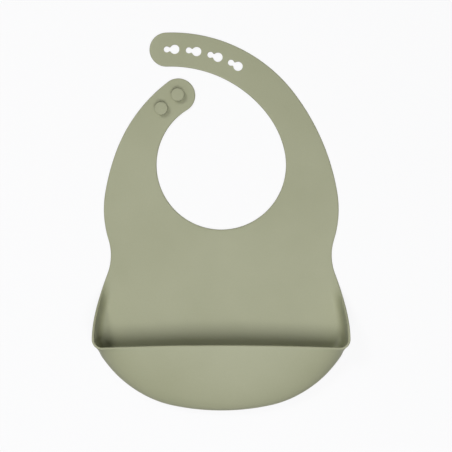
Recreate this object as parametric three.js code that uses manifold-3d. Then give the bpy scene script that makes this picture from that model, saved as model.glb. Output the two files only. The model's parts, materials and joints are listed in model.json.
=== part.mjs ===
// A baby's bib, moulded in one piece from soft silicone: a chest panel, a catching pocket below it, and a
// neckband in two straps. One strap ends in four keyholes and the other carries two mushroom studs.
// The sheet is cut into separate solids where it bends in use, so that each stretch can turn on its own.
//
// Units are millimetres. The bib lies on its back: +X is to the right, +Y is towards the neckband and +Z is up,
// out of the front of the bib. Outlines are drawn about the centre of the neck opening, and the whole group is
// then moved so that the origin is at the middle of the footprint, on the surface that the bib lies on.
import * as THREE from "three";
import { mergeVertices } from "three/addons/utils/BufferGeometryUtils.js";
import Module from "manifold-3d";

const wasm = await Module();
wasm.setup();

// ---- driving dimensions ----
const SHEET = 2; // thickness of the silicone everywhere
const NECK_R = 56.2; // radius of the neck opening
const TIP_R = 14.8; // radius of both strap ends
const FOOTPRINT_Y = 48.7; // from the middle of the footprint up to the neck centre
const FOLD_Y = -78; // the waist line, where the chest panel folds forward
const HINGE_GAP = 0.4; // slit between two stretches of sheet that turn on each other
const SEAM = 0.2; // clearance between the floor of the pocket and its walls

// Each outline is a chain of arcs, every arc tangent to the one before. An arc is [radius, direction in degrees of
// the outward normal where it ends], and a hollow arc has a negative radius.
const STRAP_INNER = [
  [NECK_R, 12.6],
  [80.3, 36.3],
  [105.7, 91.7],
]; // inner edge of the long strap, from the neck opening to the tip
const ARM = { centre: [-92, -56.2], radius: 195.5 }; // the long arc down the outside of each strap
const KEYHOLE_LEAVE = 37.4; // direction where the long strap's outer edge leaves that arc
const STUD_LEAVE = 20; // the same for the short strap
const STUD_TIP = 58.2; // direction of the short strap's tip from the neck centre
const SIDE = [
  [ARM.radius, 9.6],
  [89.3, -17.2],
  [-45.9, 21],
]; // arm, shoulder and waist
const HIP = [153.2, 0.4];
const POCKET_OUTLINE = [
  [11, -23.4], // corner
  [92.9, null], // flank, which ends where it meets the bottom arc
  [209.9, -90], // bottom
];
const RIM_CORNER_R = 8.8; // plan radius where the mouth turns from the side to the front
const RIM_BOW_R = 2200; // the front rim bows very slightly towards the neck

const CORNER_RISE = 26; // height of the rim at the corners
const RIM_RISE = 28; // height of the rim at the middle
const LIP_START_Y = -97; // where the sides begin to curl up
const SIDE_TURN = 9.5; // plan width of the curl along the sides
const BASE_TURN = 13; // plan width of the curl at the bottom of the pocket
const RIM_BEAD_R = 1.1; // rounded bead along the mouth

const STUD = { stem: 2.5, head: 5.6, clear: 2.6, cap: 2.2, orbit: 71.2, at: [122, 137] };
const KEYHOLE = { big: 4.1, small: 2.7, apart: 6.85, slot: 1.75, first: 88.8, pitch: 9.2 };
const STRAP_SPINE = { centre: [-43, -19], radius: 119.4 }; // the line that the keyholes lie on

// Where the neckband bends: a point on the line, the line's direction in degrees, and its half length.
const BENDS = {
  right_shoulder: { at: [76, 0], along: 0, half: 24 },
  keyhole_strap_middle: { at: [60, 48], along: 34, half: 22 },
  keyhole_strap_end: { at: [30.5, 75], along: 52, half: 22 },
  left_shoulder: { at: [-76, 0], along: 0, half: 24 },
  stud_strap_end: { at: [-66.5, 28.2], along: 157, half: 20 },
};

// ---- materials ----
const silicone = (colour) => new THREE.MeshStandardMaterial({ color: colour, roughness: 0.62, metalness: 0 });
const SAGE = silicone("#a1a68f");
const SAGE_POCKET = silicone("#a9ad94");

// ---- plane geometry ----
const vec = (x, y) => new THREE.Vector2(x, y);
const dir = (degrees) => vec(Math.cos(THREE.MathUtils.degToRad(degrees)), Math.sin(THREE.MathUtils.degToRad(degrees)));
const bearing = (from, to) => THREE.MathUtils.radToDeg(Math.atan2(to.y - from.y, to.x - from.x));
const mix = THREE.MathUtils.lerp;
const smooth = (t) => THREE.MathUtils.smoothstep(t, 0, 1);
const mirrored = (line) => line.map(({ p, n }) => ({ p: vec(-p.x, p.y), n: vec(-n.x, n.y) }));

// The arcs of a chain, each with its centre, radius and the normals' directions at its ends.
function arcChain(centre, start, arcs) {
  const found = [];
  let c = centre.clone();
  let from = start;
  let before = null;
  for (const [radius, to] of arcs) {
    if (before !== null) c = c.clone().addScaledVector(dir(from), before - radius);
    found.push({ centre: c, radius, from, to });
    before = radius;
    from = to;
  }
  return found;
}

const arcLength = (a) => Math.abs(a.radius * THREE.MathUtils.degToRad(a.to - a.from));

// Points and outward normals along a chain, about one step apart and never more than 12 degrees apart.
function trace(arcs, step = 6) {
  const line = [];
  for (const a of arcs) {
    const turn = Math.abs(a.to - a.from);
    const count = Math.max(2, Math.ceil(turn / 12), Math.ceil(arcLength(a) / step));
    for (let i = line.length ? 1 : 0; i <= count; i++) {
      const n = dir(mix(a.from, a.to, i / count));
      line.push({ p: a.centre.clone().addScaledVector(n, a.radius), n });
    }
  }
  return line;
}

// The point at a share s of the whole length of a chain.
function pointAt(arcs, s) {
  const total = arcs.reduce((sum, a) => sum + arcLength(a), 0);
  let left = s * total;
  for (const a of arcs) {
    const length = arcLength(a);
    if (left <= length + 1e-9 || a === arcs.at(-1)) {
      const n = dir(mix(a.from, a.to, Math.min(1, left / length)));
      return { p: a.centre.clone().addScaledVector(n, a.radius), n };
    }
    left -= length;
  }
}

// The arc that leaves a circle tangentially in one direction and then runs tangentially into a strap's round tip.
function bridge(centre, radius, leave, tip) {
  const out = dir(leave);
  const q = tip.clone().sub(centre).addScaledVector(out, -radius);
  const r = (TIP_R * TIP_R - q.lengthSq()) / (2 * (q.dot(out) + TIP_R));
  const c = centre.clone().addScaledVector(out, radius - r);
  return { centre: c, radius: r, from: bearing(c, tip), to: leave };
}

// ---- outlines ----
const neckCentre = vec(0, 0);
const armCentre = vec(...ARM.centre);
const innerArcs = arcChain(neckCentre, 0, STRAP_INNER);
const keyholeTip = innerArcs[2].centre.clone().addScaledVector(dir(innerArcs[2].to), innerArcs[2].radius + TIP_R);
const keyholeOuter = bridge(armCentre, ARM.radius, KEYHOLE_LEAVE, keyholeTip);
const side = arcChain(armCentre, KEYHOLE_LEAVE, [...SIDE, HIP]);
const [, shoulder, waist, hip] = side;

// The short strap in mirrored coordinates, as if it were on the right.
const studTip = dir(STUD_TIP).multiplyScalar(NECK_R + TIP_R);
const studOuter = bridge(armCentre, ARM.radius, STUD_LEAVE, studTip);

// The waist arc stops at the fold line; what lies below belongs to the pocket.
const foldAngle = THREE.MathUtils.radToDeg(Math.asin((FOLD_Y - waist.centre.y) / waist.radius));
const aboveFold = { ...waist, to: foldAngle };
const belowFold = { ...waist, from: foldAngle };

// The neckband and chest panel: up the right side, round both strap ends by way of the neck, down the left.
function chestOutline() {
  const right = trace([keyholeOuter, side[0], shoulder, aboveFold]).reverse();
  const tip = { centre: keyholeTip, radius: TIP_R, from: keyholeOuter.from, to: innerArcs[2].to + 180 };
  const inner = trace(innerArcs).reverse();
  const neck = { centre: neckCentre, radius: NECK_R, from: 0, to: -180 - STUD_TIP };
  const shortTip = { centre: studTip, radius: TIP_R, from: studOuter.from, to: STUD_TIP + 180 };
  const left = trace([studOuter, { ...side[0], from: STUD_LEAVE }, shoulder, aboveFold]);
  const joined = [
    ...right,
    ...trace([tip]),
    ...inner,
    ...trace([neck]),
    ...mirrored(trace([shortTip])).reverse(),
    ...mirrored(left),
  ];
  return joined.map((q) => q.p).filter((p, i, all) => p.distanceTo(all.at(i - 1)) > 0.01);
}

// ---- the pocket ----
const cornerCentre = hip.centre.clone().addScaledVector(dir(hip.to), hip.radius - POCKET_OUTLINE[0][0]);
const flankCentre = cornerCentre
  .clone()
  .addScaledVector(dir(POCKET_OUTLINE[0][1]), POCKET_OUTLINE[0][0] - POCKET_OUTLINE[1][0]);
POCKET_OUTLINE[1][1] = -THREE.MathUtils.radToDeg(
  Math.acos(flankCentre.x / (POCKET_OUTLINE[2][0] - POCKET_OUTLINE[1][0])),
);
const sideLine = [belowFold, hip];
const outlineFront = arcChain(cornerCentre, hip.to, POCKET_OUTLINE);
const rimCorner = hip.centre.clone().addScaledVector(dir(hip.to), hip.radius - RIM_CORNER_R);
const rimTurn = -90 - THREE.MathUtils.radToDeg(Math.asin(rimCorner.x / (RIM_CORNER_R + RIM_BOW_R)));
const rimFront = arcChain(rimCorner, hip.to, [
  [RIM_CORNER_R, rimTurn],
  [-RIM_BOW_R, -90],
]);

// The four control points of the wall's section at one place: on the floor, two that shape the turn, and the rim.
// k runs from -1 at the waist through 0 at the corner to 1 at the middle of the front.
function section(k) {
  const front = k > 0;
  const edge = front ? pointAt(outlineFront, k) : pointAt(sideLine, k + 1);
  const rim = front ? pointAt(rimFront, k) : edge;
  const lift = front ? 1 : smooth((LIP_START_Y - edge.p.y) / (LIP_START_Y - hip.centre.y - hip.radius * dir(hip.to).y));
  const rise = front ? mix(CORNER_RISE, RIM_RISE, smooth(k)) : CORNER_RISE * lift;
  const curl = smooth(lift * 2.5);
  const lean = front ? smooth(k * 2) : 0;
  const turn = mix(SIDE_TURN, BASE_TURN, lean);
  const inset = edge.p.distanceTo(rim.p);
  const swell = mix(0.24, 0.1, lean) * turn * smooth(inset / 10);
  const belly = [(curl - 1) * turn * 0.67 + 0.1 * inset + swell, (curl - 1) * turn * 0.33 + 0.24 * inset + swell];
  const waistHigh = mix(0.35 * rise, 13, lean);
  const out = (distance, z) => {
    const at = edge.p.clone().addScaledVector(edge.n, distance - (SHEET / 2) * curl);
    return new THREE.Vector3(at.x, at.y, z + SHEET / 2);
  };
  const top = rim.p.clone().addScaledVector(rim.n, (-SHEET / 2) * curl);
  return [out(-turn, 0), out(belly[0], 0), out(belly[1], waistHigh), new THREE.Vector3(top.x, top.y, rise + SHEET / 2)];
}

// The middle of the wall's thickness, at k along the wall and v up it. Both sides share one formula, mirrored.
function wallPoint(k, v, left = false) {
  const [a, b, c, d] = section(k);
  const p = new THREE.CubicBezierCurve3(a, b, c, d).getPoint(v);
  return left ? p.setX(-p.x) : p;
}

// The wall's outward normal there, from the slope along the wall and the slope up it.
function wallNormal(k, v, left = false) {
  const d = 1e-3;
  const along = wallPoint(Math.min(k + d, 1), v, left).sub(wallPoint(k - d, v, left));
  const up = wallPoint(k, Math.min(v + d, 1), left).sub(wallPoint(k, Math.max(v - d, 0), left));
  const n = up.cross(along).normalize();
  if (left) n.negate();
  return v === 0 ? n.set(0, 0, -1) : n;
}

// A closed shell of sheet thickness about a patch of the wall; cells is [[k, v, left], ...] along the wall and up it.
function shellGeometry(cells) {
  const rows = cells.length;
  const columns = cells[0].length;
  const positions = [];
  for (const side of [1, -1]) {
    for (const [k, v, left] of cells.flat()) {
      const p = wallPoint(k, v, left).addScaledVector(wallNormal(k, v, left), (side * SHEET) / 2);
      positions.push(p.x, p.y, p.z);
    }
  }
  const at = (side, i, j) => side * rows * columns + i * columns + j;
  const index = [];
  const quad = (a, b, c, d) => index.push(a, b, c, a, c, d);
  for (let i = 0; i + 1 < rows; i++) {
    for (let j = 0; j + 1 < columns; j++) {
      quad(at(0, i, j), at(0, i, j + 1), at(0, i + 1, j + 1), at(0, i + 1, j));
      quad(at(1, i, j), at(1, i + 1, j), at(1, i + 1, j + 1), at(1, i, j + 1));
    }
    quad(at(0, i, 0), at(0, i + 1, 0), at(1, i + 1, 0), at(1, i, 0));
    quad(at(0, i + 1, columns - 1), at(0, i, columns - 1), at(1, i, columns - 1), at(1, i + 1, columns - 1));
  }
  for (let j = 0; j + 1 < columns; j++) {
    quad(at(0, 0, j + 1), at(0, 0, j), at(1, 0, j), at(1, 0, j + 1));
    quad(at(0, rows - 1, j), at(0, rows - 1, j + 1), at(1, rows - 1, j + 1), at(1, rows - 1, j));
  }
  const geometry = new THREE.BufferGeometry();
  geometry.setAttribute("position", new THREE.Float32BufferAttribute(positions, 3));
  geometry.setIndex(index);
  return geometry;
}

// Evenly spaced numbers from a to b.
const steps = (a, b, count) => Array.from({ length: count + 1 }, (_, i) => mix(a, b, i / count));

// ---- solids ----
function solidOf(geometry) {
  const bare = geometry.clone();
  bare.deleteAttribute("normal");
  bare.deleteAttribute("uv");
  const merged = mergeVertices(bare.index ? bare : mergeVertices(bare), 1e-4);
  return new wasm.Manifold(
    new wasm.Mesh({
      numProp: 3,
      vertProperties: merged.attributes.position.array,
      triVerts: new Uint32Array(merged.index.array),
    }),
  );
}

function geometryOf(solid) {
  const { vertProperties, triVerts } = solid.getMesh();
  const geometry = new THREE.BufferGeometry();
  geometry.setAttribute("position", new THREE.Float32BufferAttribute(vertProperties, 3));
  geometry.setIndex(new THREE.Uint32BufferAttribute(triVerts, 1));
  return geometry;
}

const slab = (shape, depth = SHEET) => new THREE.ExtrudeGeometry(shape, { depth, bevelEnabled: false });

// A thin upright blade along a bend line, which slits the sheet there.
function blade({ at, along, half }) {
  const box = new THREE.BoxGeometry(2 * half, HINGE_GAP, 5 * SHEET);
  box.rotateZ(THREE.MathUtils.degToRad(along));
  box.translate(at[0], at[1], SHEET / 2);
  return solidOf(box);
}

const holds = (solid, [x, y]) => {
  const probe = solidOf(new THREE.BoxGeometry(1, 1, SHEET / 2).translate(x, y, SHEET / 2));
  return solid.intersect(probe).volume() > 0.1;
};

// A keyhole's outline: a large round hole for the stud's head, a slot, and a small round hole for its stem.
function keyholePath(degrees) {
  const onSpine = (turn) => vec(...STRAP_SPINE.centre).addScaledVector(dir(degrees + turn), STRAP_SPINE.radius);
  const big = onSpine(0);
  const small = onSpine(THREE.MathUtils.radToDeg(KEYHOLE.apart / STRAP_SPINE.radius));
  const heading = Math.atan2(small.y - big.y, small.x - big.x);
  const atBig = Math.asin(KEYHOLE.slot / KEYHOLE.big);
  const atSmall = Math.PI - Math.asin(KEYHOLE.slot / KEYHOLE.small);
  const path = new THREE.Path();
  path.absarc(big.x, big.y, KEYHOLE.big, heading + atBig, heading + 2 * Math.PI - atBig, false);
  path.absarc(small.x, small.y, KEYHOLE.small, heading - atSmall, heading + atSmall, false);
  path.closePath();
  return path;
}

// The neckband and chest as one slab, slit at the bend lines; each stretch is found by a point inside it.
function sheetStretches() {
  const outline = new THREE.Shape(chestOutline());
  for (let i = 0; i < 4; i++) outline.holes.push(keyholePath(KEYHOLE.first - i * KEYHOLE.pitch));
  let sheet = solidOf(slab(outline));
  for (const bend of Object.values(BENDS)) sheet = sheet.subtract(blade(bend));
  const inside = {
    chest_panel: [0, NECK_R * -1.2],
    keyhole_strap_root: [73, 22],
    keyhole_strap_middle: [48, 62],
    keyhole_strap_end: [-46, 112],
    stud_strap_root: [-74, 12],
    stud_strap_end: [-38, 72],
  };
  const stretches = sheet.decompose();
  return Object.entries(inside).map(([name, point]) => [name, stretches.find((s) => holds(s, point))]);
}

// The flat floor: below the fold line and inside the turn of the walls.
function lowerPanel() {
  const inward = (k) => {
    const foot = section(k)[0];
    const edge = k > 0 ? pointAt(outlineFront, k) : pointAt(sideLine, k + 1);
    return vec(foot.x, foot.y).addScaledVector(edge.n, -SEAM);
  };
  const right = [...steps(-1, 0, 14), ...steps(0, 1, 22).slice(1)].map(inward);
  const left = right.slice(0, -1).reverse().map((p) => vec(-p.x, p.y));
  right[0].y = left.at(-1).y = FOLD_Y - HINGE_GAP;
  return slab(new THREE.Shape([...right, ...left]));
}

const WALL_UP = steps(0, 0.975, 11);
const FRONT = steps(0, 1, 22);

function sideWall(left) {
  const along = steps(-0.985, -0.005, 18);
  const cells = along.map((k) => WALL_UP.map((v) => [k, v, left]));
  return shellGeometry(left ? cells.reverse() : cells);
}

// The front wall is two shells, one above the other: the turn at its base, and the catching wall.
function frontWall(low, high, count) {
  const up = steps(low, high, count);
  const right = FRONT.map((k) => up.map((v) => [k, v, false]));
  const left = FRONT.slice(0, -1).map((k) => up.map((v) => [k, v, true]));
  return shellGeometry([...right, ...left.reverse()]);
}

// A round bead that stiffens the mouth, carried along the rim from corner to corner.
function rimBead() {
  const right = steps(0.012, 1, 20).map((k) => wallPoint(k, 1));
  const left = steps(0.012, 1, 20).slice(0, -1).map((k) => wallPoint(k, 1, true));
  const path = new THREE.CatmullRomCurve3([...right, ...left.reverse()]);
  const round = new THREE.Shape().absarc(0, 0, RIM_BEAD_R, 0, 2 * Math.PI, false);
  return new THREE.ExtrudeGeometry(round, { steps: 70, curveSegments: 5, bevelEnabled: false, extrudePath: path });
}

// A mushroom stud, turned about its own axis: a stem that stands on the strap and a rounded cap.
function studGeometry() {
  const { stem, head, clear, cap } = STUD;
  const round = cap / 2;
  const rim = steps(-90, 90, 6).map((a) => dir(a).multiplyScalar(round).add(vec(head - round, clear + round)));
  const profile = [vec(0, 0), vec(stem, 0), vec(stem, clear), ...rim, vec(0, clear + cap)];
  return new THREE.LatheGeometry(profile, 28).rotateX(Math.PI / 2);
}

// ---- assembly ----
const bib = new THREE.Group();

function add(name, geometry, material = SAGE) {
  const mesh = new THREE.Mesh(geometry, material);
  mesh.name = name;
  bib.add(mesh);
  return mesh;
}

for (const [name, solid] of sheetStretches()) add(name, geometryOf(solid));
add("lower_panel", lowerPanel());
add("pocket_side_right", sideWall(false), SAGE_POCKET);
add("pocket_side_left", sideWall(true), SAGE_POCKET);
add("pocket_base_turn", frontWall(0, 0.42, 6), SAGE_POCKET);
add("pocket_front_wall", frontWall(0.43, 0.975, 7), SAGE_POCKET);
add("pocket_rim", rimBead(), SAGE_POCKET);
["stud_outer", "stud_inner"].forEach((name, i) => {
  const at = dir(STUD.at[i]).multiplyScalar(STUD.orbit);
  add(name, studGeometry()).position.set(at.x, at.y, SHEET);
});

bib.position.y = FOOTPRINT_Y;

export default bib;
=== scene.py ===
"""A silicone baby's bib lying on its back: chest panel, scoop pocket, keyhole strap and stud strap.

Every surface is worked out here as a function of two parameters, in millimetres, in the frame of the solids:
+X to the right, +Y towards the neckband, +Z up out of the bib's front.
"""
import json
import math

import bmesh
import bpy
import numpy as np

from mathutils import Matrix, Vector


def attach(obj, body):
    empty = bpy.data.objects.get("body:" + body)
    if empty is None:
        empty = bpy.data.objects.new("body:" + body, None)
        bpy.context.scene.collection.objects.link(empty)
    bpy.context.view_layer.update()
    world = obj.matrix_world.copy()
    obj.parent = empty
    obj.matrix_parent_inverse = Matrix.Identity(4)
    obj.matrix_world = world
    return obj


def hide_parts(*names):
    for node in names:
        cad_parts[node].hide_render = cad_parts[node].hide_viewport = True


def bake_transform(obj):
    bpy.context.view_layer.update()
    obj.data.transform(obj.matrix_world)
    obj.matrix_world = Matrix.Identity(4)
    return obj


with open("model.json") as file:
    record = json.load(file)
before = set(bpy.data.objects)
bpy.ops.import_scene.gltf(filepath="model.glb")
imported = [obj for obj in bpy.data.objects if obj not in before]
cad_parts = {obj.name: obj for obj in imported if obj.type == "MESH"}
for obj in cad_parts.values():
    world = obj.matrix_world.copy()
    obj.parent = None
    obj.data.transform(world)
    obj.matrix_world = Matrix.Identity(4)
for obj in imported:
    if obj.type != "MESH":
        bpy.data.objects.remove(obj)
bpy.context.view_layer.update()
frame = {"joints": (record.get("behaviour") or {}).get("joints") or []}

# ---- sizes, in millimetres and degrees ----
SHEET = 2.0                    # thickness of the silicone
HALF = SHEET / 2
NECK_R = 56.2
TIP_R = 14.8                   # round tip of either strap
FOOTPRINT_Y = 48.7             # from the middle of the footprint up to the neck centre
STRAP_INNER = [(NECK_R, 12.6), (80.3, 36.3), (105.7, 91.7)]   # arcs: radius, bearing where each ends
ARM = (np.array([-92.0, -56.2]), 195.5)                       # the strap's outer arc: centre, radius
KEYHOLE_LEAVE, STUD_LEAVE, STUD_TIP = 37.4, 20.0, 58.2        # bearings where each strap leaves ARM, and its tip
SIDE = [(195.5, 9.6), (89.3, -17.2), (-45.9, 21.0)]           # arm, shoulder and hollow waist
HIP = (153.2, 0.4)
CORNER_R, CORNER_END, FLANK_R, BOTTOM_R = 11.0, -23.4, 92.9, 209.9
RIM_CORNER_R, RIM_BOW_R = 8.8, 2200.0
CORNER_RISE, RIM_RISE = 26.0, 28.0     # rim height at the pocket's corners and in the middle of the front
BELLY_RISE = 13.0                      # height of the section's third control point along the front
WAIST_Y, LIP_START_Y = -78.0, -97.0
SIDE_TURN, BASE_TURN = 9.5, 13.0       # plan width of the curl along the sides and along the front
WAIST_FADE = 0.3                       # share of the side over which the curl widens from nothing
RIM_HALF = 1.02                        # half thickness of the wall at the rim

KEYHOLE = {"big": 4.1, "small": 2.7, "apart": 6.85, "slot": 1.75}   # two radii, their distance, the slot's half width
KEYHOLES = [88.8, 79.6, 70.4, 61.2]    # bearings of the large holes from the centre of their arc
SPINE, SPINE_R = np.array([-43.0, -19.0]), 119.4
SLOT_CLAMP = 0.82                      # keeps the slot's sides short of the holes' far ends
WINDOW = {"before": 10.0, "after": 7.2, "side": 6.3}      # margins of a keyhole's window round its neck
HOLE_EDGE = 0.4                        # radius of the keyhole's rounded corners

STUD_AT = [(122.0, 71.2), (137.0, 71.2)]   # bearing and distance from the neck centre
STEM_R, FILLET_R = 2.6, 1.3
CAP_R, CAP_FLAT_R, CAP_LOWER_R, CAP_UPPER_R = 5.6, 5.0, 0.9, 0.45
CAP_WIDEST, CAP_TOP, CAP_CROWN = 3.5, 4.8, 0.12  # heights over the sheet of the cap's widest ring and top; its crown

# Where the neckband is cut into pieces, as bearings from the neck centre, in degrees.
RIGHT_CUTS = [-20.0, 19.3, 53.3]
LEFT_CUTS = [-20.0, 17.0]

EDGE = 9                # points round an edge of the sheet
SHARP_ANGLE = 38        # degrees; edges sharper than this stay crisp


# ---- small helpers ----
def rad(degrees):
    return np.radians(degrees)


def unit(degrees):
    """Unit vectors pointing in the given directions."""
    a = rad(np.asarray(degrees, float))
    return np.stack([np.cos(a), np.sin(a)], -1)


def smooth(t):
    """3t^2 - 2t^3 between 0 and 1."""
    t = np.clip(t, 0, 1)
    return t * t * (3 - 2 * t)


def mix(a, b, t):
    return a + (b - a) * t


def bearing(a, b):
    return math.degrees(math.atan2(b[1] - a[1], b[0] - a[0]))


# ---- outlines, each a chain of tangent arcs ----
def chain(centre, start, arcs):
    """Arcs (centre, radius, from, to), each starting where the last ends and with the same normal there."""
    found, c, a, before = [], np.array(centre, float), start, None
    for radius, end in arcs:
        if before is not None:
            c = c + unit(a) * (before - radius)
        found.append((c, radius, a, end))
        before, a = radius, end
    return found


def bridge(centre, radius, leave, tip):
    """The arc that leaves a circle tangentially and runs tangentially into a strap's round tip."""
    out = unit(leave)
    q = tip - centre - radius * out
    r = (TIP_R ** 2 - q @ q) / (2 * (q @ out + TIP_R))
    c = centre + (radius - r) * out
    return (c, r, bearing(c, tip), leave)


def arc_lengths(arcs):
    return np.array([abs(r * rad(b - a)) for _, r, a, b in arcs])


def along(arcs, share):
    """Points and outward normals at shares of a chain's length: centre + radius * (cos, sin) on the arc there."""
    share = np.asarray(share, float)
    lengths = arc_lengths(arcs)
    ends = np.concatenate([[0], np.cumsum(lengths)])
    s = share * ends[-1]
    i = np.clip(np.searchsorted(ends, s, side="right") - 1, 0, len(arcs) - 1)
    t = np.clip((s - ends[i]) / lengths[i], 0, 1)
    centre = np.array([a[0] for a in arcs])[i]
    radius = np.array([a[1] for a in arcs])[i]
    first = np.array([a[2] for a in arcs])[i]
    last = np.array([a[3] for a in arcs])[i]
    normal = unit(mix(first, last, t))
    return centre + radius[..., None] * normal, normal


inner_arcs = chain((0, 0), 0, STRAP_INNER)
keyhole_tip = inner_arcs[2][0] + unit(inner_arcs[2][3]) * (inner_arcs[2][1] + TIP_R)
keyhole_outer = bridge(ARM[0], ARM[1], KEYHOLE_LEAVE, keyhole_tip)
stud_tip = unit(STUD_TIP) * (NECK_R + TIP_R)
stud_outer = bridge(ARM[0], ARM[1], STUD_LEAVE, stud_tip)
side = chain(ARM[0], KEYHOLE_LEAVE, SIDE + [HIP])
arm, _, waist, hip = side
fold = math.degrees(math.asin((WAIST_Y - waist[0][1]) / waist[1]))
side_line = [(waist[0], waist[1], fold, waist[3]), hip]
corner_y = hip[0][1] + HIP[0] * math.sin(rad(HIP[1]))

corner_centre = hip[0] + unit(HIP[1]) * (HIP[0] - CORNER_R)
flank_centre = corner_centre + unit(CORNER_END) * (CORNER_R - FLANK_R)
flank_end = -math.degrees(math.acos(flank_centre[0] / (BOTTOM_R - FLANK_R)))
front_line = chain(corner_centre, HIP[1], [(CORNER_R, CORNER_END), (FLANK_R, flank_end), (BOTTOM_R, -90)])
rim_corner = hip[0] + unit(HIP[1]) * (HIP[0] - RIM_CORNER_R)
rim_turn = -90 - math.degrees(math.asin(rim_corner[0] / (RIM_CORNER_R + RIM_BOW_R)))
rim_line = chain(rim_corner, HIP[1], [(RIM_CORNER_R, rim_turn), (-RIM_BOW_R, -90)])


def joint(arc):
    """Bearing from the neck centre of the point where an arc ends."""
    return bearing((0, 0), arc[0] + arc[1] * unit(arc[3]))


def edge_pieces(arcs, face):
    """Arcs as (centre, radius, bearing where it ends, near or far crossing, which way its face points)."""
    return [(c, abs(r), joint((c, r, a, b)), -1 if r < 0 else 1, face * np.sign(r)) for c, r, a, b in arcs]


def ray_hit(pieces, degrees):
    """Where rays from the neck centre cross an edge, and the edge's outward normal there.

    A ray d crosses a circle about c at distance c.d +- sqrt(R^2 - |c|^2 + (c.d)^2).
    """
    d = unit(degrees)
    i = np.minimum(np.searchsorted([p[2] for p in pieces], degrees), len(pieces) - 1)
    c = np.array([p[0] for p in pieces])[i]
    r, root, face = (np.array([p[n] for p in pieces], float)[i] for n in (1, 3, 4))
    cd = np.sum(c * d, 1)
    reach = np.sqrt(np.maximum(r * r - np.sum(c * c, 1) + cd * cd, 0))
    p = d * (cd + root * reach)[:, None]
    return p, (p - c) * (face / r)[:, None]


KEYHOLE_END = bearing((0, 0), keyhole_tip)
KEYHOLE_HALF = math.degrees(math.asin(TIP_R / np.linalg.norm(keyhole_tip)))
STUD_HALF = math.degrees(math.asin(TIP_R / (NECK_R + TIP_R)))
turned = [(c, r, b, a) for c, r, a, b in side[:3]]
keyhole_in = edge_pieces(inner_arcs, -1) + [(keyhole_tip, TIP_R, 180, -1, 1)]
keyhole_out = edge_pieces(turned[::-1], 1) + edge_pieces([keyhole_outer[:2] + (0, keyhole_outer[2])], 1)
keyhole_out += [(keyhole_tip, TIP_R, 180, 1, 1)]
stud_in = [(np.zeros(2), NECK_R, STUD_TIP, 1, -1), (stud_tip, TIP_R, 180, -1, 1)]
stud_out = edge_pieces(turned[:0:-1] + [arm[:2] + (0, STUD_LEAVE), stud_outer[:2] + (0, stud_outer[2])], 1)
stud_out += [(stud_tip, TIP_R, 180, 1, 1)]


# ---- how the sheet lies: gentle swells, so that it isn't perfectly flat ----
def swell(x, y):
    """Height of the sheet above the table: three broad crossing waves, squared so that it is never below 0."""
    a = np.sin(x / 61 + 0.9) * np.cos(y / 47 - 0.4)
    b = np.sin(x / 33 - y / 58 + 2.1)
    c = np.cos(x / 88 + y / 39)
    return 0.35 * (0.5 * a + 0.3 * b + 0.3 * c) ** 2


# ---- meshes ----
def tidy(v, quads, rings):
    """Merges points that coincide to a micron; a quad that loses a side becomes a triangle, or goes."""
    _, first, back = np.unique(np.round(v * 1000).astype(np.int64), axis=0, return_index=True, return_inverse=True)
    q = back.ravel()[quads]
    sides = q != np.roll(q, 1, axis=1)
    count = sides.sum(1)
    opposite = (q[:, 0] == q[:, 2]) | (q[:, 1] == q[:, 3])
    four = q[(count == 4) & ~opposite]
    three = (count == 3) & ~opposite
    three = q[three][sides[three]].reshape(-1, 3)
    rings = [back.ravel()[np.array(r)] for r in rings]
    rings = [r[r != np.roll(r, 1)] for r in rings]
    return v[first], four.tolist() + three.tolist() + [r.tolist() for r in rings if len(r) > 2]


def piece(name, v, quads, rings, slot="sage_silicone"):
    """A mesh object at the origin from points in millimetres, faces outward, smooth but for its sharp edges."""
    v, faces = tidy(v, np.asarray(quads), rings)
    v[:, 1] += FOOTPRINT_Y
    v[:, 2] += swell(v[:, 0], v[:, 1])
    mesh = bpy.data.meshes.new(name)
    mesh.from_pydata(v * 0.001, [], faces)
    build = bmesh.new()
    build.from_mesh(mesh)
    bmesh.ops.recalc_face_normals(build, faces=build.faces)
    if build.calc_volume(signed=True) < 0:
        bmesh.ops.reverse_faces(build, faces=build.faces)
    build.to_mesh(mesh)
    build.free()
    mesh.polygons.foreach_set("use_smooth", np.ones(len(mesh.polygons), bool))
    mesh.set_sharp_from_angle(angle=math.radians(SHARP_ANGLE))
    mesh.materials.append(sage)
    obj = bpy.data.objects.new(name, mesh)
    bpy.context.collection.objects.link(obj)
    return obj


def grid_faces(rows, columns):
    """Quads of a grid of rows of points, each row a closed loop."""
    i, j = np.meshgrid(np.arange(rows - 1), np.arange(columns), indexing="ij")
    k = (j + 1) % columns
    quads = np.stack([i * columns + j, i * columns + k, (i + 1) * columns + k, (i + 1) * columns + j], -1)
    return quads.reshape(-1, 4)


def half_turn(count):
    """Angles from straight down to straight up, both ends included."""
    return np.linspace(-math.pi / 2, math.pi / 2, count)


def edge_round(point, normal):
    """The rounded edge of the sheet: a half circle of radius HALF, bulging along the outline's normal."""
    a = half_turn(EDGE)
    xy = point[:, None, :] + normal[:, None, :] * (HALF * (np.cos(a) - 1))[None, :, None]
    z = np.broadcast_to(HALF + HALF * np.sin(a), xy.shape[:2])
    return np.concatenate([xy, z[..., None]], -1)


def edge_cut(point):
    """A square cut through the sheet, with as many points as a rounded edge."""
    z = HALF + HALF * np.sin(half_turn(EDGE))
    xy = np.repeat(point[:, None, :], EDGE, 1)
    return np.concatenate([xy, np.broadcast_to(z, xy.shape[:2])[..., None]], -1)


def span(a, b, z, columns):
    """Points from a to b along each row, both ends left out, at one height."""
    t = np.linspace(0, 1, columns + 2)[1:-1]
    xy = mix(a[:, None, :], b[:, None, :], t[None, :, None])
    return np.concatenate([xy, np.full(xy.shape[:2] + (1,), z)], -1)


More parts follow.
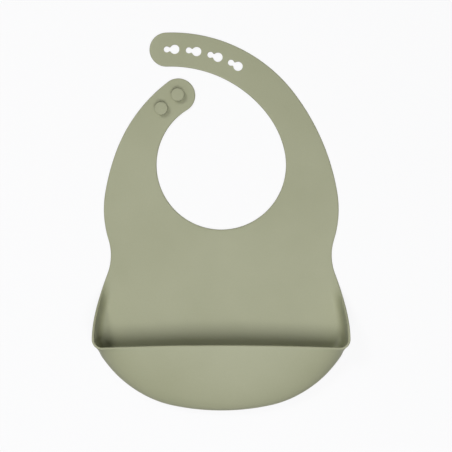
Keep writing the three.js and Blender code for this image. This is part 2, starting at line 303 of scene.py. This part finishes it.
def band(inner, outer, columns):
    """Closed loops: up the inner edge, across the top, down the outer edge and back along the underside."""
    a, b = inner, outer
    top = span(a[:, -1, :2], b[:, -1, :2], SHEET, columns)
    under = span(b[:, 0, :2], a[:, 0, :2], 0.0, columns)
    return np.concatenate([a, top, b[:, ::-1], under], 1)


def cap(first, columns):
    """Closes an open end of a band: a strip of quads between its top and underside, and a face in each edge."""
    loop = 2 * EDGE + 2 * columns
    top = np.arange(EDGE - 1, EDGE + columns + 1)
    under = np.concatenate([[0], np.arange(loop - 1, loop - columns - 1, -1), [2 * EDGE + columns - 1]])
    quads = np.stack([top[:-1], top[1:], under[1:], under[:-1]], -1) + first
    return quads, [np.arange(EDGE) + first, np.arange(EDGE + columns, 2 * EDGE + columns) + first]


# ---- silicone ----
class Value:
    """A shader socket that can be used in Python arithmetic; each operator adds one Math node."""

    def __init__(self, maker, socket):
        self.maker, self.socket = maker, socket

    def _math(self, operation, a, b):
        return self.maker.node("ShaderNodeMath", {"operation": operation}, [a, b])

    def __add__(self, other):
        return self._math("ADD", self, other)

    __radd__ = __add__

    def __mul__(self, other):
        return self._math("MULTIPLY", self, other)

    __rmul__ = __mul__


class Maker:
    """Adds nodes to one material."""

    def __init__(self, name):
        self.material = bpy.data.materials.new(name)
        self.material.use_nodes = True
        self.tree = self.material.node_tree
        self.shader = self.tree.nodes["Principled BSDF"]

    def node(self, kind, settings, inputs, output=0):
        """Adds a node: first its settings, then values or links for its sockets; returns one output."""
        n = self.tree.nodes.new(kind)
        for key, value in settings.items():
            if key == "stops":
                ramp = n.color_ramp.elements
                while len(ramp) < len(value):
                    ramp.new(0.5)
                for element, (place, colour) in zip(ramp, value):
                    element.position, element.color = place, colour
            else:
                setattr(n, key, value)
        pairs = inputs.items() if isinstance(inputs, dict) else enumerate(inputs)
        for key, value in pairs:
            if isinstance(value, Value):
                self.tree.links.new(value.socket, n.inputs[key])
            elif value is not None:
                n.inputs[key].default_value = value
        return Value(self, n.outputs[output])

    def feed(self, socket, value):
        if isinstance(value, Value):
            self.tree.links.new(value.socket, self.shader.inputs[socket])
        else:
            self.shader.inputs[socket].default_value = value


def linear(r, g, b):
    """Linear colour from 0 to 255 display values."""
    c = np.array([r, g, b]) / 255
    return tuple(np.where(c <= 0.04045, c / 12.92, ((c + 0.055) / 1.055) ** 2.4)) + (1.0,)


def silicone(name, base, dusk):
    """Matt moulded silicone: broad faint clouding, fine speckle of the mould's blasted face, and a soft bloom."""
    m = Maker(name)
    place = m.node("ShaderNodeTexCoord", {}, [], "Object")
    cloud = m.node("ShaderNodeTexNoise", {}, {"Vector": place, "Scale": 14.0, "Detail": 3.0}, "Fac")
    speck = m.node("ShaderNodeTexNoise", {}, {"Vector": place, "Scale": 900.0, "Detail": 2.0}, "Fac")
    grain = m.node("ShaderNodeTexNoise", {}, {"Vector": place, "Scale": 2600.0, "Detail": 3.0}, "Fac")
    tint = m.node("ShaderNodeValToRGB", {"stops": [(0.3, dusk), (0.7, base)]}, [cloud * 0.75 + speck * 0.25])
    m.feed("Base Color", tint)
    m.feed("Roughness", 0.4 + 0.12 * cloud + 0.08 * speck)
    height = grain * 0.6 + speck * 0.4
    bump = m.node("ShaderNodeBump", {}, {"Strength": 0.18, "Distance": 0.00006, "Height": height}, "Normal")
    m.feed("Normal", bump)
    m.feed("Sheen Weight", 0.12)
    m.feed("Sheen Roughness", 0.5)
    m.feed("Specular IOR Level", 0.5)
    m.feed("IOR", 1.43)
    return m.material


sage = silicone("sage silicone", linear(171, 173, 143), linear(163, 165, 134))

# ---- the pocket's wall ----
def section(k):
    """The four control points of the wall's section at k: -1 at the waist, 0 at the corner, 1 at the front's middle.

    The wall leaves the floor level, turns up along the outline and ends at the rim. Along the side the rim stands
    over the outline and rises with a smooth step, and the curl tightens with a smooth step of that rise. Along the
    front the rim runs straight across while the outline bows out, so that the section leans back over the pocket.
    """
    front = k > 0
    edge, normal = along(front_line, np.where(front, k, 0))
    edge2, normal2 = along(side_line, np.where(front, 1, k + 1))
    edge, normal = np.where(front[:, None], edge, edge2), np.where(front[:, None], normal, normal2)
    rim, rim_normal = along(rim_line, np.where(front, k, 0))
    rim, rim_normal = np.where(front[:, None], rim, edge), np.where(front[:, None], rim_normal, normal)
    lift = np.where(front, 1.0, smooth((LIP_START_Y - edge[:, 1]) / (LIP_START_Y - corner_y)))
    rise = np.where(front, mix(CORNER_RISE, RIM_RISE, smooth(k)), CORNER_RISE * lift)
    curl = smooth(lift)
    lean = np.where(front, smooth(k * 2), 0.0)
    turn = mix(SIDE_TURN, BASE_TURN, lean) * np.maximum(smooth((k + 1) / WAIST_FADE), 0.01)
    inset = np.linalg.norm(edge - rim, axis=1)
    out = mix(0.24, 0.1, lean) * turn * smooth(inset / 10)
    first = (curl - 1) * turn * 0.67 + 0.1 * inset + out
    second = (curl - 1) * turn * 0.33 + 0.24 * inset + out
    belly_z = mix(0.35 * rise, BELLY_RISE, lean)

    def at(distance, z):
        xy = edge + normal * (distance - HALF)[:, None]
        return np.concatenate([xy, (z + HALF)[:, None]], 1)

    top = np.concatenate([rim - rim_normal * HALF, (rise + HALF)[:, None]], 1)
    zero = np.zeros_like(k)
    return at(-turn, zero), at(first, zero), at(second, belly_z), top


def wall(k, v):
    """A cubic Bezier up each section: (1-v)^3 A + 3(1-v)^2 v B + 3(1-v) v^2 C + v^3 D."""
    a, b, c, d = [p[:, None, :] for p in section(k)]
    v = v[None, :, None]
    u = 1 - v
    return u ** 3 * a + 3 * u * u * v * b + 3 * u * v * v * c + v ** 3 * d


def wall_slopes(k, v):
    """The wall's unit slope up each section and its outward normal."""
    a, b, c, d = [p[:, None, :] for p in section(k)]
    t = v[None, :, None]
    up = (1 - t) ** 2 * (b - a) + 2 * (1 - t) * t * (c - b) + t * t * (d - c)
    up /= np.maximum(np.linalg.norm(up, axis=-1, keepdims=True), 1e-9)
    step = 1e-4
    before, after = np.maximum(k - step, -1), np.minimum(k + step, 1)
    way = wall(after, v) - wall(before, v)
    normal = np.cross(up, way)
    normal /= np.maximum(np.linalg.norm(normal, axis=-1, keepdims=True), 1e-12)
    return up, normal


def foot(k):
    """Where the wall leaves the floor."""
    return section(k)[0][:, :2]


def pocket_rows():
    """k for each row: close together round the corner, wider along the side and the front."""
    corner = (arc_lengths(front_line)[0] + 14) / arc_lengths(front_line).sum()
    return np.concatenate([np.linspace(-1, 0, 72), np.linspace(0, corner, 30)[1:], np.linspace(corner, 1, 70)[1:]])


def pocket():
    """The walls and rim: sections carried from the right waist round the front to the left waist.

    Each section is a closed loop: up the outer face at half the thickness from the middle, over the rounded rim and
    down the inner face. The wall thickens slightly towards the rim.
    """
    k = pocket_rows()
    v = np.linspace(0, 1, 56)
    middle = wall(k, v)
    up, normal = wall_slopes(k, v)
    flip = np.where(normal[:, :1, 2:3] > 0, -1.0, 1.0)
    normal = normal * flip
    normal[:, 0] = (0, 0, -1)
    rising = smooth((k + 1) / 0.6)[:, None, None]
    half = HALF + (RIM_HALF - HALF) * rising * smooth((v - 0.9) / 0.1)[None, :, None]
    outer, inner = middle + normal * half, middle - normal * half
    a = np.linspace(0, math.pi, 13)[1:-1]
    radius = half[:, -1:]
    lip = middle[:, -1:] + radius * (normal[:, -1:] * np.cos(a)[None, :, None] + up[:, -1:] * np.sin(a)[None, :, None])
    right = np.concatenate([outer, lip, inner[:, ::-1]], 1)
    left = right[:-1][::-1] * np.array([-1, 1, 1])
    loops = np.concatenate([right, left], 0)
    rows, columns = loops.shape[:2]
    ends = [np.arange(columns), np.arange((rows - 1) * columns, rows * columns)]
    return loops.reshape(-1, 3), grid_faces(rows, columns), ends


# ---- the sheet ----
def neck_edge(degrees):
    """The neckline at bearings from the neck centre; the sheet's outward normal there points to the centre."""
    d = unit(degrees)
    return d * NECK_R, -d


def body(columns=72):
    """The chest and the pocket's floor: straight rows from the neckline to the side and to the foot of the wall."""
    w, wn = along(side_line, np.array([0.0]))
    top = np.linspace(RIGHT_CUTS[0], bearing((0, 0), w[0]), 60)
    p, n = ray_hit(keyhole_out, top)
    p[-1], n[-1] = w[0], wn[0]
    f = foot(pocket_rows())
    outer = np.concatenate([edge_round(p, n), edge_cut(f)], 0)
    q, m = neck_edge(np.concatenate([top, np.degrees(np.arctan2(f[:, 1], f[:, 0]))]))
    right = band(edge_round(q, m), outer, columns)
    loops = np.concatenate([right, right[:-1][::-1] * np.array([-1, 1, 1])], 0)
    rows, loop = loops.shape[:2]
    start, start_ends = cap(0, columns)
    end, end_ends = cap((rows - 1) * loop, columns)
    return loops.reshape(-1, 3), np.concatenate([grid_faces(rows, loop), start, end]), start_ends + end_ends


def towards_tip(start, middle, half, rows):
    """Bearings from start to the end of a round tip, at middle + half; there they close up like a sine."""
    bend = middle - 0.4 * half
    plain = np.linspace(start, bend, rows, endpoint=False)
    return np.concatenate([plain, middle + half * np.sin(np.linspace(math.asin(-0.4), math.pi / 2, 44))])


def strap(bearings, inner, outer, columns=44, tip=False, mirror=False, holes=()):
    """A stretch of the neckband: rows along rays from the neck centre, from the inner edge to the outer edge."""
    p, n = ray_hit(inner, bearings)
    q, m = ray_hit(outer, bearings)
    loops = band(edge_round(p, n), edge_round(q, m), columns)
    rows, loop = loops.shape[:2]
    quads = grid_faces(rows, loop)
    keep = np.ones((rows - 1, loop), bool)
    points, faces, base = [loops.reshape(-1, 3)], [], rows * loop
    for hole in holes:
        (r0, r1, c0, c1), ring = hole_window(loops, bearings, columns, hole)
        keep[r0:r1, EDGE - 1 + c0:EDGE - 1 + c1] = False
        under = EDGE + columns + EDGE - 1 + columns + 1
        keep[r0:r1, under - c1:under - c0] = False
        points.append(ring.reshape(-1, 3))
        faces.append(grid_faces(*ring.shape[:2]) + base)
        base += ring.shape[0] * ring.shape[1]
    ends = [cap(0, columns)] + ([] if tip else [cap((rows - 1) * loop, columns)])
    quads = np.concatenate([quads[keep.ravel()]] + faces + [e[0] for e in ends])
    v = np.concatenate(points)
    if mirror:
        v = v * np.array([-1, 1, 1])
    return v, quads, sum((e[1] for e in ends), [])


def keyhole_edge(angle):
    """Distance from a keyhole's neck to its edge, by direction; 0 points to the large hole.

    A circle through the neck is 2 R cos(angle) away, a slot's side is half its width / sin(angle); the high power
    mean of the three takes the farthest and rounds the corners between them.
    """
    c, s = np.cos(angle), np.abs(np.sin(angle))
    shapes = np.stack([2 * KEYHOLE["big"] * np.maximum(c, 0), 2 * KEYHOLE["small"] * np.maximum(-c, 0),
                       KEYHOLE["slot"] / np.maximum(s, SLOT_CLAMP)])
    return np.sum(shapes ** 10, 0) ** 0.1


def hole_window(loops, bearings, columns, degrees):
    """A keyhole's window in the band, and the ring grid that fills it.

    The grid runs from the window in to the keyhole's edge, through the sheet with both corners rounded, and out again
    along the underside.
    """
    big = SPINE + SPINE_R * unit(degrees)
    small = SPINE + SPINE_R * unit(degrees + math.degrees(KEYHOLE["apart"] / SPINE_R))
    way = (small - big) / np.linalg.norm(small - big)
    neck = big + way * KEYHOLE["big"]
    last = neck + way * WINDOW["after"]
    first = neck - way * WINDOW["before"]
    r0 = int(np.searchsorted(bearings, bearing((0, 0), first)))
    r1 = int(np.searchsorted(bearings, bearing((0, 0), last)))
    top = loops[:, EDGE - 1:EDGE + columns + 1]
    across = np.linalg.norm(top[(r0 + r1) // 2, :, :2] - neck, axis=1)
    middle = int(np.argmin(across))
    wide = int(round(WINDOW["side"] / np.linalg.norm(top[r0, 1, :2] - top[r0, 2, :2])))
    c0, c1 = middle - wide, middle + wide
    way_round = np.concatenate([top[r0, c0:c1], top[r0:r1, c1], top[r1, c1:c0:-1], top[r1:r0:-1, c0]])[:, :2]
    rel = way_round - neck
    out = rel / np.linalg.norm(rel, axis=1)[:, None]
    angle = np.arctan2(out[:, 1], out[:, 0]) - math.atan2(-way[1], -way[0])
    edge = neck + out * keyhole_edge(angle)[:, None]
    e = HOLE_EDGE
    a = np.linspace(0, math.pi / 2, 5)
    corner = [(edge + out * e * (1 - math.sin(x)), SHEET - e * (1 - math.cos(x))) for x in a]
    flat = [(mix(way_round, edge + out * e, t), SHEET) for t in (0, 0.35, 0.65, 0.88)]
    upper = flat + corner
    rings = upper + [(xy, SHEET - z) for xy, z in upper[::-1]]
    grid = np.array([np.concatenate([xy, np.full((len(xy), 1), z)], 1) for xy, z in rings])
    return (r0, r1, c0, c1), grid


def stud(degrees, orbit):
    """A mushroom stud, turned about its own axis: a fillet, a stem, and a cap with a rounded rim and a crowned top.

    The profile is three quarter rounds, then a parabola: height = top + crown * (1 - (r / flat radius)^2).
    """
    q = np.linspace(0, math.pi / 2, 7)
    h = np.linspace(-math.pi / 2, 0, 6)
    sunk = SHEET - 0.05
    low, high = SHEET + CAP_WIDEST, SHEET + CAP_TOP - CAP_UPPER_R
    fillet = np.stack([STEM_R + FILLET_R * (1 - np.sin(q)), sunk + (FILLET_R + 0.05) * (1 - np.cos(q))], 1)
    below = np.stack([CAP_R - CAP_LOWER_R + CAP_LOWER_R * np.cos(h), low + CAP_LOWER_R * np.sin(h)], 1)
    above = np.stack([CAP_R - CAP_UPPER_R + CAP_UPPER_R * np.cos(q), high + CAP_UPPER_R * np.sin(q)], 1)
    r = np.linspace(CAP_FLAT_R, 0, 8)
    top = np.stack([r, SHEET + CAP_TOP + CAP_CROWN * (1 - (r / CAP_FLAT_R) ** 2)], 1)
    profile = np.concatenate([[[0, sunk]], fillet, below, above, top])
    a = np.linspace(0, 2 * math.pi, 64, endpoint=False)
    ring = np.stack([np.cos(a), np.sin(a)], -1)
    centre = unit(degrees) * orbit
    xy = centre + profile[:, 0][:, None, None] * ring
    z = np.broadcast_to(profile[:, 1][:, None], xy.shape[:2])
    loops = np.concatenate([xy, z[..., None]], -1)
    return loops.reshape(-1, 3), grid_faces(*loops.shape[:2]), []


# ---- assembly ----
def bends(obj, a, b, name, way, before, after):
    """Bakes obj's transform into its mesh; it does not bend obj. The joint called name and the ends of the stretch
    from before to after its hinge, in millimetres along way, are worked out but not used; a and b are not used.
    """
    at = np.array(next(j for j in frame["joints"] if j["name"] == name)["pos_m"])
    way = np.array([*way, 0.0])
    tuple(at + way * before * 0.001)
    tuple(at + way * after * 0.001)
    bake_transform(obj)


obj = piece("bib_panel", *body())
bends(obj, "pocket", "chest", "panel_fold", (0, 1), -3, 17)
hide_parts("lower_panel", "chest_panel")

obj = piece("bib_pocket", *pocket(), slot="pocket_silicone")
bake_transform(obj)
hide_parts("pocket_side_left", "pocket_side_right", "pocket_base_turn", "pocket_front_wall", "pocket_rim")

right_rows = towards_tip(RIGHT_CUTS[2], KEYHOLE_END, KEYHOLE_HALF, 96)
left_rows = towards_tip(LEFT_CUTS[1], STUD_TIP, STUD_HALF, 50)
STRAPS = [
    # piece, solid that it replaces, bearings of its rows, edges and options, then what bends() is given, though it
    # bends
    # nothing: the bodies before and after, the joint, the way along the strap, and where the bend starts and ends from
    # the hinge
    ("keyhole_strap_shoulder", "keyhole_strap_root", np.linspace(*RIGHT_CUTS[:2], 44),
     dict(inner=keyhole_in, outer=keyhole_out),
     ("chest", "keyhole_root", "keyhole_strap_shoulder", (0, 1), -3, 18)),
    ("keyhole_strap_side", "keyhole_strap_middle", np.linspace(*RIGHT_CUTS[1:], 44),
     dict(inner=keyhole_in, outer=keyhole_out),
     ("keyhole_root", "keyhole_middle", "keyhole_strap_side", unit(34 + 90), -4, 14)),
    ("keyhole_strap_end", "keyhole_strap_end", right_rows,
     dict(inner=keyhole_in, outer=keyhole_out, tip=True, holes=KEYHOLES),
     ("keyhole_middle", "keyhole_end", "keyhole_strap_nape", unit(52 + 90), -4, 14.5)),
    ("stud_strap_shoulder", "stud_strap_root", np.linspace(*LEFT_CUTS, 40),
     dict(inner=stud_in, outer=stud_out, mirror=True),
     ("chest", "stud_root", "stud_strap_shoulder", (0, 1), -3, 15)),
    ("stud_strap_end", "stud_strap_end", left_rows,
     dict(inner=stud_in, outer=stud_out, tip=True, mirror=True),
     ("stud_root", "stud_end", "stud_strap_nape", unit(157 - 90), -5, 14)),
]
for name, solid, bearings, shape, bend in STRAPS:
    obj = piece(name, *strap(bearings, **shape))
    bends(obj, *bend)
    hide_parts(solid)

for name, place in zip(["stud_outer", "stud_inner"], STUD_AT):
    obj = piece(name + "_cap", *stud(*place))
    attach(obj, "stud_end")
    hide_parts(name)


# ---- floor, light and camera ----
def floor():
    """A pale card that sweeps up into a round wall far off; it glows a little and throws no light back up.

    Its profile is flat out to 3 m, then a quarter circle of radius 1.5 m, then straight up. It lies 0.4 mm under the
    bib.
    """
    q = np.linspace(-math.pi / 2, 0, 12)
    r = np.concatenate([[0.0, 1.0, 2.0], 3 + 1.5 * np.cos(q), [4.5]])
    z = np.concatenate([np.zeros(3), 1.5 + 1.5 * np.sin(q), [6.0]]) - 0.0004
    a = np.linspace(0, 2 * math.pi, 72, endpoint=False)
    ring = np.stack([np.cos(a), np.sin(a)], -1)
    xy = r[:, None, None] * ring
    loops = np.concatenate([xy, np.broadcast_to(z[:, None, None], xy.shape[:2] + (1,))], -1)
    v, faces = tidy(loops.reshape(-1, 3) * 1000, grid_faces(*loops.shape[:2])[:, ::-1], [])
    mesh = bpy.data.meshes.new("floor")
    mesh.from_pydata(v * 0.001, [], faces)
    mesh.polygons.foreach_set("use_smooth", np.ones(len(mesh.polygons), bool))
    m = Maker("pale card")
    m.feed("Base Color", (0.1, 0.1, 0.1, 1.0))
    m.feed("Roughness", 0.9)
    m.feed("Specular IOR Level", 0.0)
    m.feed("Emission Color", (1.0, 1.0, 1.0, 1.0))
    m.feed("Emission Strength", 0.73)
    mesh.materials.append(m.material)
    card = bpy.data.objects.new("floor", mesh)
    bpy.context.collection.objects.link(card)
    card.visible_diffuse = card.visible_shadow = False


def softbox(name, place, size, power, colour):
    """A square area lamp at place that faces the bib."""
    data = bpy.data.lights.new(name, "AREA")
    data.shape, data.size, data.energy, data.color = "SQUARE", size, power, colour
    obj = bpy.data.objects.new(name, data)
    obj.location = place
    obj.rotation_euler = Vector(place).to_track_quat("Z", "Y").to_euler()
    bpy.context.collection.objects.link(obj)


def surroundings(above, below, colour):
    """Light from all round: it rises evenly with the direction's Z from 0.1 to 1, and is dark below the bib."""
    world = bpy.data.worlds.new("studio")
    world.use_nodes = True
    tree = world.node_tree
    way = tree.nodes.new("ShaderNodeTexCoord")
    split = tree.nodes.new("ShaderNodeSeparateXYZ")
    fade = tree.nodes.new("ShaderNodeMapRange")
    tree.links.new(way.outputs["Generated"], split.inputs[0])
    tree.links.new(split.outputs["Z"], fade.inputs["Value"])
    for socket, value in {"From Min": 0.1, "From Max": 1.0, "To Min": below, "To Max": above}.items():
        fade.inputs[socket].default_value = value
    tree.links.new(fade.outputs[0], tree.nodes["Background"].inputs["Strength"])
    tree.nodes["Background"].inputs["Color"].default_value = (*colour, 1)
    bpy.context.scene.world = world


COOL = (0.985, 0.985, 1.04)     # a slightly blue studio white
floor()
softbox("low softbox", (0.1, -0.6, 1.52), 0.95, 14.2, COOL)
softbox("high softbox", (-0.75, 0.6, 1.2), 0.36, 5.4, COOL)
surroundings(0.27, 0.0, COOL)
bpy.context.scene.view_settings.view_transform = "Standard"
bpy.context.scene.view_settings.look = "Medium High Contrast"

camera = bpy.data.cameras.new("camera")
camera.lens, camera.sensor_width = 82.4, 36
camera_object = bpy.data.objects.new("camera", camera)
camera_object.location = (0.0041, -0.0044, 0.9)
bpy.context.collection.objects.link(camera_object)
bpy.context.scene.camera = camera_object
